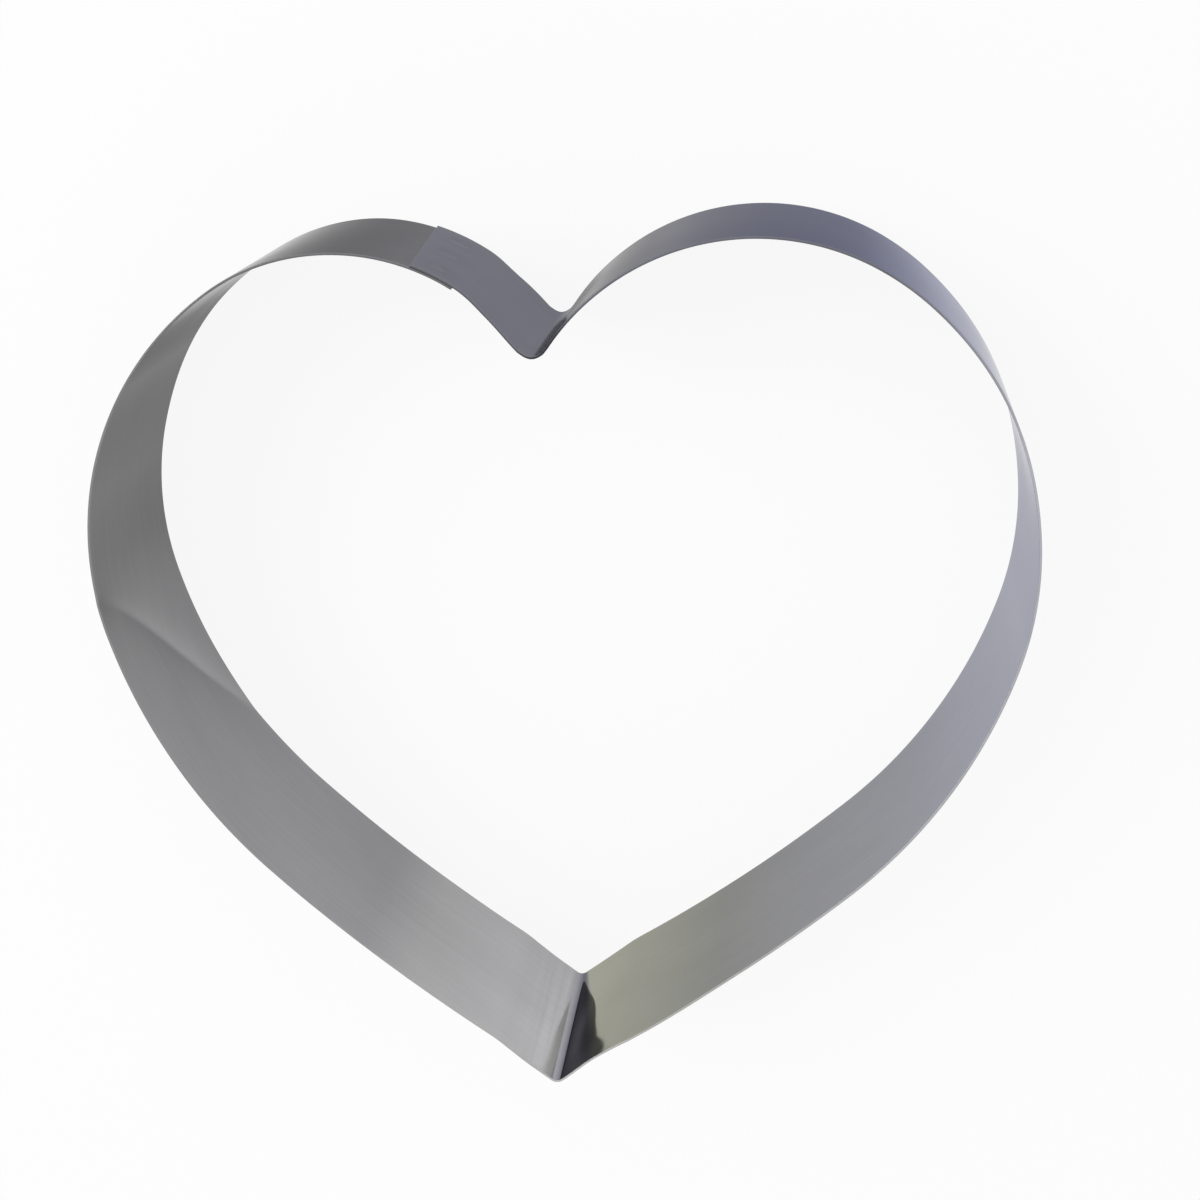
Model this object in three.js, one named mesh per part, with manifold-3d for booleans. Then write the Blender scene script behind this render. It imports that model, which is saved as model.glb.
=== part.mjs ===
// Heart cake ring: a bottomless baking ring made from one strip of stainless sheet.
// The strip is bent round into a heart, folded at the tip and at the cleft between the lobes,
// and its two ends are lapped on the left lobe and held there by spot welds.
// Millimetres, +Z up. The ring stands on its lower rim at z = 0, with the tip towards -Y.

import * as THREE from 'three';
import { mergeVertices } from 'three/addons/utils/BufferGeometryUtils.js';
import Module from 'manifold-3d';

// The sheet and the height of the strip.
const BAND_HEIGHT = 50;
const SHEET_THICKNESS = 0.5;
const RIM_EASE = 0.15;

// The heart, measured along the middle of the sheet. Each half leaves the tip as a short nib, which
// folding has drawn out, bends back to a nearly straight flank, and tightens into a shoulder, a side
// and a lobe. This ring was bent by hand: its right lobe is rounder than its left one, and its cleft
// lies left of the tip.
const TIP_ANGLE = 104.7;
const NIB_LENGTH = 15.4;
const NIB_BEND_LENGTH = 4;
const NIB_BEND_RADIUS = 34.7;
const FLANK_LENGTH = 61.7;
const FLANK_RADIUS = 374;
const SHOULDER_LENGTH = 63.8;
const SHOULDER_RADIUS = 119;
const RIGHT_SIDE_LENGTH = 82.7;
const RIGHT_SIDE_RADIUS = 73.5;
const LEFT_SIDE_LENGTH = 85;
const LEFT_SIDE_RADIUS = 68.7;
const TIP_TO_CLEFT = 163.95;
const CLEFT_SHIFT = -4.1;
const TIP_FOLD_RADIUS = 2;
const CLEFT_FOLD_RADIUS = 3.5;

// The lap, measured along the left lobe from the end of the cleft fold.
const FOLD_TO_JOGGLE = 9;
const JOGGLE_LENGTH = 9;
const LAP_LENGTH = 11;
const LAP_GAP = 0.3;

// The spot welds, in one upright row along the middle of the lap.
const WELD_COUNT = 3;
const WELD_DIAMETER = 4;
const WELD_RIM_DISTANCE = 9;
const WELD_DISH = 0.15;
const WELD_CLEARANCE = 0.3;

// How finely curves are divided, and how near vertices are one.
const CHORD_ERROR = 0.05;
const VERTEX_MERGE = 0.0001;
const JOGGLE_STEPS = 8;
const WELD_SIDES = 24;
const DISH_STEPS = 4;

const wasm = await Module();
wasm.setup();

const steel = { color: 0x8c8c94, roughness: 0.18, metalness: 1 };
const weldedSteel = { color: 0x82828a, roughness: 0.35, metalness: 1 };

const vec = (x, y) => new THREE.Vector2(x, y);
const polar = (radius, angle) => vec(radius * Math.cos(angle), radius * Math.sin(angle));
const bearing = (from, to) => Math.atan2(to.y - from.y, to.x - from.x);
const turningAxis = new THREE.Vector3(0, 1, 0);

// An angle brought into one turn above a start, so that the sweep from start to it is positive.
function turnedPast(angle, start) {
  const turn = 2 * Math.PI;
  return start + ((((angle - start) % turn) + turn) % turn);
}

// An arc that leaves a point along a heading and turns left, or right where its radius is negative.
function leftArc(point, heading, radius, length) {
  const start = heading - Math.PI / 2;
  const centre = point.clone().sub(polar(radius, start));
  return { centre, radius, start, end: start + length / radius };
}

// An arc that leaves a point along a heading, turns left and ends at a target.
function leftArcTo(point, heading, target) {
  const reach = target.clone().sub(point);
  const radius = reach.lengthSq() / (2 * reach.dot(polar(1, heading + Math.PI / 2)));
  const arc = leftArc(point, heading, radius, 0);
  arc.end = turnedPast(bearing(arc.centre, target), arc.start);
  return arc;
}

const arcEnd = (arc) => arc.centre.clone().add(polar(arc.radius, arc.end));

// One half of the heart, as the right one: nib, its bend, flank, shoulder, side and lobe, from the tip
// to the cleft.
function halfHeart(sideLength, sideRadius, cleft) {
  const bends = [
    [NIB_LENGTH, FLANK_RADIUS],
    [NIB_BEND_LENGTH, -NIB_BEND_RADIUS],
    [FLANK_LENGTH, FLANK_RADIUS],
    [SHOULDER_LENGTH, SHOULDER_RADIUS],
    [sideLength, sideRadius],
  ];
  const arcs = [];
  let point = vec(0, 0);
  let heading = THREE.MathUtils.degToRad(90 - TIP_ANGLE / 2);
  for (const [length, radius] of bends) {
    const arc = leftArc(point, heading, radius, length);
    arcs.push(arc);
    point = arcEnd(arc);
    heading += length / radius;
  }
  arcs.push(leftArcTo(point, heading, cleft));
  return arcs;
}

// The same arcs mirrored to the left half, in the order that goes on from the cleft to the tip.
function mirrored(arcs) {
  return arcs.toReversed().map((arc) => ({
    centre: vec(-arc.centre.x, arc.centre.y),
    radius: arc.radius,
    start: Math.PI - arc.end,
    end: Math.PI - arc.start,
  }));
}

// Where two circles cross, taking the crossing nearest to a point.
function crossing(centreA, radiusA, centreB, radiusB, near) {
  const apart = centreA.distanceTo(centreB);
  const along = (radiusA ** 2 - radiusB ** 2 + apart ** 2) / (2 * apart);
  const aside = Math.sqrt(radiusA ** 2 - along ** 2);
  const axis = centreB.clone().sub(centreA).divideScalar(apart);
  const foot = centreA.clone().addScaledVector(axis, along);
  const across = vec(-axis.y, axis.x).multiplyScalar(aside);
  const choices = [foot.clone().add(across), foot.clone().sub(across)];
  return choices.sort((a, b) => a.distanceTo(near) - b.distanceTo(near))[0];
}

// The fold at the tip, bent inside both nibs. The nibs are trimmed to it.
function tipFold(leftNib, rightNib) {
  const inset = (nib) => nib.radius - TIP_FOLD_RADIUS;
  const centre = crossing(
    leftNib.centre, inset(leftNib), rightNib.centre, inset(rightNib), vec(0, 0));
  leftNib.end = turnedPast(bearing(leftNib.centre, centre), leftNib.start);
  rightNib.start = bearing(rightNib.centre, centre);
  const end = turnedPast(rightNib.start, leftNib.end);
  return { centre, radius: TIP_FOLD_RADIUS, start: leftNib.end, end };
}

// The fold at the cleft, bent in the notch outside both lobes. The lobes are trimmed to it.
function cleftFold(rightLobe, leftLobe, cleft) {
  const outset = (lobe) => lobe.radius + CLEFT_FOLD_RADIUS;
  const centre = crossing(
    rightLobe.centre, outset(rightLobe), leftLobe.centre, outset(leftLobe), cleft);
  rightLobe.end = turnedPast(bearing(rightLobe.centre, centre), rightLobe.start);
  leftLobe.start = leftLobe.end - turnedPast(leftLobe.end - bearing(leftLobe.centre, centre), 0);
  const start = rightLobe.end + Math.PI;
  const end = start - turnedPast(start - (leftLobe.start + Math.PI), 0);
  return { centre, radius: CLEFT_FOLD_RADIUS, start, end };
}

// The closed line along the middle of the sheet, counter-clockwise from the end of the cleft fold.
function heartLine() {
  const cleft = vec(CLEFT_SHIFT, TIP_TO_CLEFT);
  const cleftSeenMirrored = vec(-CLEFT_SHIFT, TIP_TO_CLEFT);
  const right = halfHeart(RIGHT_SIDE_LENGTH, RIGHT_SIDE_RADIUS, cleft);
  const left = mirrored(halfHeart(LEFT_SIDE_LENGTH, LEFT_SIDE_RADIUS, cleftSeenMirrored));
  const foldAtTip = tipFold(left.at(-1), right[0]);
  const foldAtCleft = cleftFold(right.at(-1), left[0], cleft);
  const arcs = [...left, foldAtTip, ...right, foldAtCleft];
  let travelled = 0;
  for (const arc of arcs) {
    arc.from = travelled;
    travelled += Math.abs((arc.end - arc.start) * arc.radius);
    arc.to = travelled;
  }
  return { arcs, length: travelled };
}

// A place on the heart line, with the direction that points out of the heart there and the length
// of a chord that strays from the bend by no more than the allowed error.
function placeOn(line, distance) {
  const wrapped = distance % line.length;
  const arc = line.arcs.find((each) => wrapped < each.to) ?? line.arcs.at(-1);
  const turned = (wrapped - arc.from) / (arc.to - arc.from);
  const angle = arc.start + turned * (arc.end - arc.start);
  const sweep = Math.sign(arc.end - arc.start);
  return {
    point: arc.centre.clone().add(polar(arc.radius, angle)),
    outward: polar(sweep * Math.sign(arc.radius), angle),
    stepLength: Math.sqrt(8 * Math.abs(arc.radius) * CHORD_ERROR),
  };
}

// The strip starts at its inner end, goes once round the heart, steps outwards by the joggle
// and finishes with its outer end over its own start.
const line = heartLine();
const innerEnd = FOLD_TO_JOGGLE + JOGGLE_LENGTH;
const joggleStart = line.length + FOLD_TO_JOGGLE;
const joggleEnd = joggleStart + JOGGLE_LENGTH;
const outerEnd = joggleEnd + LAP_LENGTH;
const lapStep = SHEET_THICKNESS + LAP_GAP;

// How far out of the heart line the strip lies.
function stepOut(distance) {
  return lapStep * THREE.MathUtils.smoothstep(distance, joggleStart, joggleEnd);
}

// The distances at which the strip's faces are sampled: finer where the bend is tighter.
function samplingDistances() {
  const bends = line.arcs.flatMap((arc) => [arc.to, arc.to + line.length]);
  const within = bends.filter((distance) => distance > innerEnd && distance < outerEnd);
  const breaks = [innerEnd, ...within, joggleStart, joggleEnd, outerEnd].sort((a, b) => a - b);
  const distances = [innerEnd];
  for (let i = 1; i < breaks.length; i += 1) {
    const [from, to] = [breaks[i - 1], breaks[i]];
    const middle = (from + to) / 2;
    const joggling = middle > joggleStart && middle < joggleEnd;
    const wanted = Math.ceil((to - from) / placeOn(line, middle).stepLength);
    const steps = joggling ? Math.max(JOGGLE_STEPS, wanted) : wanted;
    for (let step = 1; step <= steps; step += 1) {
      distances.push(from + ((to - from) * step) / steps);
    }
  }
  return distances;
}

// One face of the strip in plan, at a distance out from the middle of the sheet.
function facePoints(distances, side) {
  return distances.map((distance) => {
    const { point, outward } = placeOn(line, distance);
    return point.addScaledVector(outward, stepOut(distance) + side);
  });
}

function stripOutline() {
  const distances = samplingDistances();
  const outerFace = facePoints(distances, SHEET_THICKNESS / 2);
  const innerFace = facePoints(distances, -SHEET_THICKNESS / 2);
  return [...outerFace, ...innerFace.reverse()];
}

// The strip at full height, its four long edges eased as after deburring.
function stripGeometry(outline) {
  const geometry = new THREE.ExtrudeGeometry(new THREE.Shape(outline), {
    depth: BAND_HEIGHT - 2 * RIM_EASE,
    bevelEnabled: true,
    bevelSegments: 1,
    bevelThickness: RIM_EASE,
    bevelSize: RIM_EASE,
    bevelOffset: -RIM_EASE,
  });
  return geometry.translate(0, 0, RIM_EASE);
}

// The welds' places: the middle of the lap, spread between the rims.
function weldPlaces() {
  const { point, outward } = placeOn(line, (joggleEnd + outerEnd) / 2);
  const centre = point.addScaledVector(outward, lapStep / 2);
  const spread = BAND_HEIGHT - 2 * WELD_RIM_DISTANCE;
  return Array.from({ length: WELD_COUNT }, (_, index) => {
    const share = WELD_COUNT > 1 ? index / (WELD_COUNT - 1) : 0.5;
    const position = new THREE.Vector3(centre.x, centre.y, WELD_RIM_DISTANCE + spread * share);
    return { position, outward: new THREE.Vector3(outward.x, outward.y, 0) };
  });
}

// Turns a round piece so that its axis points out through the sheet, and puts it in its place.
function seatInLap(object, { position, outward }) {
  object.quaternion.setFromUnitVectors(turningAxis, outward);
  object.position.copy(position);
  object.updateMatrixWorld();
  return object;
}

// A weld nugget through both layers, with the shallow dish of the electrode on each face.
function weldGeometry() {
  const radius = WELD_DIAMETER / 2;
  const halfDepth = (lapStep + SHEET_THICKNESS) / 2;
  const face = Array.from({ length: DISH_STEPS + 1 }, (_, index) => {
    const share = index / DISH_STEPS;
    return vec(radius * share, halfDepth - WELD_DISH * (1 - share ** 2));
  });
  const underside = face.map((corner) => vec(corner.x, -corner.y));
  return new THREE.LatheGeometry([...underside, ...face.reverse()], WELD_SIDES);
}

function toSolid(geometry) {
  const bare = geometry.clone();
  bare.deleteAttribute('normal');
  bare.deleteAttribute('uv');
  const merged = mergeVertices(bare, VERTEX_MERGE);
  return new wasm.Manifold(new wasm.Mesh({
    numProp: 3,
    vertProperties: new Float32Array(merged.attributes.position.array),
    triVerts: new Uint32Array(merged.index.array),
  }));
}

function toGeometry(solid) {
  const { vertProperties, triVerts } = solid.getMesh();
  const geometry = new THREE.BufferGeometry();
  geometry.setAttribute('position', new THREE.BufferAttribute(vertProperties, 3));
  geometry.setIndex(new THREE.BufferAttribute(triVerts, 1));
  geometry.computeVertexNormals();
  return geometry;
}

// The band: the strip with a seat through both layers of the lap for each weld.
function heartBand(outline) {
  const seatRadius = WELD_DIAMETER / 2 + WELD_CLEARANCE;
  const seatDepth = 2 * (lapStep + SHEET_THICKNESS);
  const seat = new THREE.CylinderGeometry(seatRadius, seatRadius, seatDepth, WELD_SIDES);
  let solid = toSolid(stripGeometry(outline));
  for (const place of weldPlaces()) {
    const cutter = seatInLap(new THREE.Object3D(), place);
    solid = solid.subtract(toSolid(seat.clone().applyMatrix4(cutter.matrixWorld)));
  }
  const band = new THREE.Mesh(toGeometry(solid), new THREE.MeshStandardMaterial(steel));
  band.name = 'heart_band';
  return band;
}

function spotWelds() {
  return weldPlaces().map((place, index) => {
    const weld = new THREE.Mesh(weldGeometry(), new THREE.MeshStandardMaterial(weldedSteel));
    weld.name = `spot_weld_${index + 1}`;
    return seatInLap(weld, place);
  });
}

// The ring is centred over the origin by its outline's box.
const outline = stripOutline();
const outlineCentre = new THREE.Box2().setFromPoints(outline).getCenter(vec(0, 0));
const ring = new THREE.Group();
ring.add(heartBand(outline), ...spotWelds());
ring.position.set(-outlineCentre.x, -outlineCentre.y, 0);

const heartCakeRing = new THREE.Group();
heartCakeRing.add(ring);
export default heartCakeRing;
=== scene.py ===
# %% [markdown]
# # A heart cake ring of polished stainless sheet
#
# This lesson dresses a bottomless heart-shaped baking ring: one strip of thin stainless steel, bent
# round into a heart, folded at the tip and at the cleft, and spot-welded where its two ends lap.
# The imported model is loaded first. It is the fixed frame: it says where the ring stands and how big
# it is, and everything below is built around it in metres.

import cmath
import math

import bmesh
import bpy
from mathutils import Euler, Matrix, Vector


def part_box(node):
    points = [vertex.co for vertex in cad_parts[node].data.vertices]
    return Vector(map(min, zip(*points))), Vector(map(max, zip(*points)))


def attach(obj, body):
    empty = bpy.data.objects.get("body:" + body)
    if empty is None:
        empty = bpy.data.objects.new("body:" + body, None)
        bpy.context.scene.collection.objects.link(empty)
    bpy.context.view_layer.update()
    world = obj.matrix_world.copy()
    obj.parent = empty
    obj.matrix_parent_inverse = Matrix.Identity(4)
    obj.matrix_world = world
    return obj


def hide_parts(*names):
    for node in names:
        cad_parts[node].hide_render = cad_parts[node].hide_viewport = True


MM = 0.001

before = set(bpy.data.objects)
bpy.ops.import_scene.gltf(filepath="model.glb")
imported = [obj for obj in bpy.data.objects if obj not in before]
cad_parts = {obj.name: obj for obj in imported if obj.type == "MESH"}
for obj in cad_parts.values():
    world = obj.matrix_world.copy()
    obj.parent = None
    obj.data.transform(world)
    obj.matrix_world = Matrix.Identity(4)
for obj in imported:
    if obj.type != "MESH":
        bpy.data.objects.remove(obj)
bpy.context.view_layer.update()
band_low, band_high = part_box("heart_band")

# %% [markdown]
# ## The line that the strip follows
#
# A sheet-metal worker bends such a ring over a few round formers, so the heart is a chain of arcs
# that touch smoothly. Each half has a short nib, drawn out by folding the tip, a nearly straight flank,
# a shoulder, a side and a lobe. It could be traced as a Bezier curve, but arcs give true radii that can
# be measured on the real ring. Points are complex numbers in millimetres here, because turning and
# adding them then takes one sign each.

# %% Sizes of the heart, in millimetres and degrees
TIP_ANGLE = 104.7
# Each arc is a length and a radius. A negative radius bends the other way.
NIB = (15.4, 374)
NIB_BEND = (4, -34.7)
FLANK = (61.7, 374)
SHOULDER = (63.8, 119)
RIGHT_SIDE = (82.7, 73.5)
LEFT_SIDE = (85, 68.7)
CLEFT = complex(-4.1, 163.95)
TIP_FOLD_RADIUS = 2
CLEFT_FOLD_RADIUS = 3.5

SHEET_THICKNESS = 0.5
STRIP_HEIGHT = (band_high.z - band_low.z) / MM
FOLD_TO_JOGGLE = 9
JOGGLE_LENGTH = 9
LAP_LENGTH = 11
LAP_GAP = 0.03
LAP_STEP = SHEET_THICKNESS + LAP_GAP


def left_arc(point, heading, radius, length):
    """An arc that leaves a point along a heading and turns left, or right if its radius is negative."""
    start = heading - math.pi / 2
    return [point - radius * cmath.rect(1, start), radius, start, start + length / radius]


def left_arc_to(point, heading, target):
    """An arc that leaves a point along a heading, turns left and ends at a target."""
    reach = target - point
    radius = abs(reach) ** 2 / (2 * (reach * cmath.rect(1, -heading)).imag)
    arc = left_arc(point, heading, radius, 0)
    arc[3] += (cmath.phase(target - arc[0]) - arc[2]) % math.tau
    return arc


def half_heart(side, cleft):
    """Nib, its bend, flank, shoulder, side and lobe of the right half, from the tip to the cleft."""
    point = 0j
    heading = math.radians(90 - TIP_ANGLE / 2)
    arcs = []
    for length, radius in (NIB, NIB_BEND, FLANK, SHOULDER, side):
        arcs.append(left_arc(point, heading, radius, length))
        centre, radius, start, end = arcs[-1]
        point = centre + radius * cmath.rect(1, end)
        heading += end - start
    return arcs + [left_arc_to(point, heading, cleft)]


right_half = half_heart(RIGHT_SIDE, CLEFT)
left_half = [
    [-centre.conjugate(), radius, math.pi - end, math.pi - start]
    for centre, radius, start, end in reversed(half_heart(LEFT_SIDE, -CLEFT.conjugate()))
]
print("lobe radii in mm:", round(left_half[0][1], 1), round(right_half[-1][1], 1))

# %% [markdown]
# ### Rounding the two folds
#
# Sheet can't be folded to a point, so the tip and the cleft get small bending radii. A fold is the
# circle that touches both neighbours: inside the two nibs at the tip, and in the notch outside the
# two lobes at the cleft. Two circles grown or shrunk by the fold's radius cross at its centre.

# %% Folds and the closed heart line
def crossing(first, first_radius, second, second_radius, near):
    """Where two circles cross, on the side nearest to a point."""
    apart = abs(second - first)
    along = (first_radius**2 - second_radius**2 + apart**2) / (2 * apart)
    aside = math.sqrt(first_radius**2 - along**2)
    axis = (second - first) / apart
    both = [first + axis * complex(along, side * aside) for side in (1, -1)]
    return min(both, key=lambda point: abs(point - near))


def fold(before, after, radius, grow, near):
    """The fold between two arcs, which are trimmed to it. grow is -1 inside them and 1 outside."""
    centre = crossing(before[0], before[1] + grow * radius, after[0], after[1] + grow * radius, near)
    before[3] = before[2] + (cmath.phase(centre - before[0]) - before[2]) % math.tau
    after[2] = after[3] - (after[3] - cmath.phase(centre - after[0])) % math.tau
    turn = (after[2] - before[3]) % math.tau
    start = before[3] + (math.pi if grow > 0 else 0)
    return [centre, radius, start, start + (turn - math.tau if grow > 0 else turn)]


tip_fold = fold(left_half[-1], right_half[0], TIP_FOLD_RADIUS, -1, 0j)
cleft_fold = fold(right_half[-1], left_half[0], CLEFT_FOLD_RADIUS, 1, CLEFT)
heart_arcs = left_half + [tip_fold] + right_half + [cleft_fold]
heart_length = sum(abs(radius * (end - start)) for centre, radius, start, end in heart_arcs)
print("heart line in mm:", round(heart_length, 1))

# %% [markdown]
# ### Sampling the strip
#
# The strip starts at its inner end on the left lobe, runs once round the heart and finishes over its
# own start. Just before that it steps outwards by one sheet, the joggle that lets the ends lap flat.
# Points lie closer where the bend is tight, and where bending and welding have marked the sheet.

# %% Points along the strip
COARSE_STEP = 1.3
FINE_STEP = 0.5
FOLD_STEP = math.radians(6)

TIP_PLACE = sum(radius * (end - start) for centre, radius, start, end in left_half)
TIP_PLACE += TIP_FOLD_RADIUS * abs(tip_fold[3] - tip_fold[2]) / 2
INNER_END = FOLD_TO_JOGGLE + JOGGLE_LENGTH
JOGGLE_START = heart_length + FOLD_TO_JOGGLE
OUTER_END = JOGGLE_START + JOGGLE_LENGTH + LAP_LENGTH
LAP_START = (INNER_END, INNER_END + LAP_LENGTH)
BUCKLED = (135, 210)
TIP_WALLS = (TIP_PLACE - 16, TIP_PLACE + 26)
LAP_FINISH = (heart_length, OUTER_END)
MARKED_SPANS = (LAP_START, BUCKLED, TIP_WALLS, LAP_FINISH)


def place_on_heart(distance):
    """A point on the heart line, the way out of the heart there, and the radius of the bend."""
    left = distance % heart_length
    for centre, radius, start, end in heart_arcs:
        length = abs(radius * (end - start))
        if left <= length:
            break
        left -= length
    ray = cmath.rect(1, start + (end - start) * left / length)
    return centre + radius * ray, ray * math.copysign(1, radius * (end - start)), abs(radius)


def smooth(value, low, high):
    """Nothing below low, one above high, and a smooth rise between them."""
    share = min(max((value - low) / (high - low), 0), 1)
    return share * share * (3 - 2 * share)


def strip_distances():
    """Distances of the sampled points, from the inner end to the outer end."""
    distances = [INNER_END]
    while distances[-1] < OUTER_END:
        here = distances[-1]
        marked = any(low <= here < high for low, high in MARKED_SPANS)
        bend = min(place_on_heart(here)[2], place_on_heart(here + FINE_STEP)[2])
        step = min(FINE_STEP if marked else COARSE_STEP, bend * FOLD_STEP)
        distances.append(min(here + step, OUTER_END))
    return distances


strip_line = []
for distance in strip_distances():
    point, outward, _ = place_on_heart(distance)
    joggle = LAP_STEP * smooth(distance, JOGGLE_START, JOGGLE_START + JOGGLE_LENGTH)
    strip_line.append(point + outward * joggle)

middle = complex(
    min(point.real for point in strip_line) + max(point.real for point in strip_line),
    min(point.imag for point in strip_line) + max(point.imag for point in strip_line),
) / 2
strip_line = [(point - middle) * MM for point in strip_line]
print("strip points:", len(strip_line), "strip length in mm:", round(OUTER_END - INNER_END, 1))

# %% [markdown]
# ## Building nodes
#
# Geometry and materials below are node trees made in code. One helper adds a node: it takes the node's
# settings by name, its inputs by name or in their order, and the colour stops where it is a ramp. An
# input is a plain value, a socket, or a whole node, which then feeds it from its first output. Colours
# are written as on a paint chart, in sRGB hex, and Blender mixes light linearly, so a second helper
# turns them.

# %% One helper for every node, one for every colour
def linear(code):
    """An sRGB hex colour as linear red, green, blue and alpha."""
    parts = [int(code[place:place + 2], 16) / 255 for place in (1, 3, 5)]
    return [part / 12.92 if part <= 0.04045 else ((part + 0.055) / 1.055) ** 2.4 for part in parts] + [1]


def add(tree, kind, inputs=(), stops=(), **settings):
    """Adds a node to a tree, with its settings, its ramp stops, and its inputs by name or in order."""
    node = tree.nodes.new(kind)
    for name, value in settings.items():
        setattr(node, name, value)
    for number, (place, colour) in enumerate(stops):
        marks = node.color_ramp.elements
        mark = marks[number] if number < 2 else marks.new(place)
        mark.position = place
        mark.color = linear(colour)
    for name, value in inputs.items() if isinstance(inputs, dict) else enumerate(inputs):
        source = value.outputs[0] if isinstance(value, bpy.types.Node) else value
        if isinstance(source, bpy.types.NodeSocket):
            tree.links.new(source, node.inputs[name])
        else:
            node.inputs[name].default_value = source
    return node


def new_material(name):
    """A material with an empty node tree, and that tree."""
    material = bpy.data.materials.new(name)
    material.use_nodes = True
    material.node_tree.nodes.clear()
    return material, material.node_tree


print("mid grey in linear light:", round(linear("#808080")[0], 3))

# %% [markdown]
# ## Marks on the strip
#
# The strip carries its own coordinates, the distance along it and the height, so every pattern below
# follows the bends as it would on a real coil. Most patterns are one noise, stretched to the length
# and the pitch of the marks it stands for. Object coordinates would be simpler, but the lines would
# then cut straight through the curved walls.

# %% A pattern that follows the strip
def strip_marks(tree, length, pitch, slant=0, **noise):
    """Random marks of a length along the strip and a pitch across it, in mm, slanted in degrees."""
    strip = add(tree, "ShaderNodeAttribute", attribute_name="strip").outputs["Vector"]
    placed = add(tree, "ShaderNodeMapping", {
        "Vector": strip, "Scale": (length * MM, pitch * MM, 1), "Rotation": (0, 0, math.radians(slant)),
    }, vector_type="TEXTURE")
    return add(tree, "ShaderNodeTexNoise", {"Vector": placed, "Scale": 1, **noise})


def along_strip(tree, stops):
    """A colour that changes along the strip, from stops in millimetres."""
    strip = add(tree, "ShaderNodeAttribute", attribute_name="strip").outputs["Vector"]
    distance = add(tree, "ShaderNodeSeparateXYZ", [strip]).outputs["X"]
    share = add(tree, "ShaderNodeMapRange", [distance, 0, OUTER_END * MM, 0, 1])
    return add(tree, "ShaderNodeValToRGB", [share], stops=[
        (place / OUTER_END, colour) for place, colour in stops])


def product(tree, *factors):
    """The product of two or more nodes, sockets or numbers."""
    result = factors[0]
    for factor in factors[1:]:
        result = add(tree, "ShaderNodeMath", [result, factor], operation="MULTIPLY")
    return result


print("strip coordinates: distance up to", round(OUTER_END), "mm, height up to", round(STRIP_HEIGHT), "mm")

# %% [markdown]
# ## The finish of the strip
#
# The strip is bright rolled stainless steel: cold-rolled between polished rolls, so it mirrors what
# stands beside it with a slight haze. Rolling leaves fine lines along its length, wiping and stacking
# leave dull patches and hair scratches, and trays scuff it beside the rims. Seen at a low angle such
# steel darkens before it brightens, which the shader's specular tint gives. A mirror shows its room,
# and the room here is plain white, so the tone and the specular tint that change along the strip are
# painted reflection: the lighter and darker, warmer and cooler light and shade that a real room would
# show in it, set place by place. The rest is a Principled shader at full metallic, because a mirror
# with a little roughness is all that polished metal is.

# %% Wear beside the rims
RIM_WEAR = 2.5
# Noise mostly stays within its range. A narrower span keeps only its peaks.
NOISE_RANGE = (0.3, 0.7)
SCUFF_PEAKS = (0.4, 0.65)


def rim_wear(tree):
    """Scuffs beside the rims: strongest at the edge, broken up, gone within a few millimetres."""
    strip = add(tree, "ShaderNodeAttribute", attribute_name="strip").outputs["Vector"]
    height = add(tree, "ShaderNodeSeparateXYZ", [strip]).outputs["Y"]
    from_rim = add(tree, "ShaderNodeMath", [height, STRIP_HEIGHT * MM / 2], operation="PINGPONG")
    near_rim = add(tree, "ShaderNodeMapRange", [from_rim, 0, RIM_WEAR * MM, 1, 0])
    scuffs = strip_marks(tree, length=6, pitch=1.2, Detail=4, Roughness=0.7)
    return product(tree, near_rim, add(tree, "ShaderNodeMapRange", [scuffs, *SCUFF_PEAKS, 0, 1]))


print("scuffs reach", RIM_WEAR, "mm from the rims")

# %% Heat tints from the welding, and painted shade and reflection at the tip
HEAT_REACH = 8
HEAT_TINTS = ((0.2, "#f6f5f2"), (0.42, "#fcfaf6"), (0.6, "#fafafd"), (0.9, "#ffffff"))
# Painted shade in the tip fold, and a painted warm reflection tint beside it.
FOLD_SHADE_TINT = ((0, "#ffffff"), (1, "#8c8aa4"))
WARM_REFLECTION_TINT = ((0, "#ffffff"), (1, "#ffffea"))


def heat_and_painted_tints(tree, marks):
    """Heat tints round the welds, painted shade inside the tip fold, and a painted warm reflection tint
    beside it.
    """
    near_weld = add(tree, "ShaderNodeMapRange", [marks["weld"], 0, HEAT_REACH * MM, 0, 1])
    tinted = ((near_weld, HEAT_TINTS), (marks["film"], FOLD_SHADE_TINT), (marks["trace"], WARM_REFLECTION_TINT))
    return [add(tree, "ShaderNodeValToRGB", [share], stops=stops) for share, stops in tinted]


print("heat tints reach", HEAT_REACH, "mm from a weld's centre")

# %% Bright rolled stainless steel
# Stops along the strip, in millimetres. The tone is painted reflection: the light and shade that a
# real room would mirror onto each place of the strip.
REFLECTION_TONES = (
    (20, "#acacaf"), (145, "#9c9c9d"), (246, "#a1a1a3"), (260, "#b3b3b4"), (300, "#c8c8ca"),
    (304, "#9c9c9c"), (345, "#969697"), (430, "#abacb2"), (560, "#a3a3a9"),
)
# The specular tint at low angles is painted reflection too, darker, lighter or tinted place by place.
REFLECTION_GRAZING_TINTS = (
    (30, "#979799"), (84, "#101012"), (100, "#a4a4a4"), (126, "#a9a9a9"), (142, "#8c8c8c"),
    (200, "#8f8f91"), (299, "#484848"), (304, "#f2f2ee"), (345, "#c2c2c0"), (450, "#d0d1da"),
    (466, "#bcbcca"), (490, "#727292"), (522, "#9a9ebb"), (546, "#7e8197"), (585, "#84848d"),
    (607, "#080808"), (620, "#a1a1a8"),
)
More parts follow.
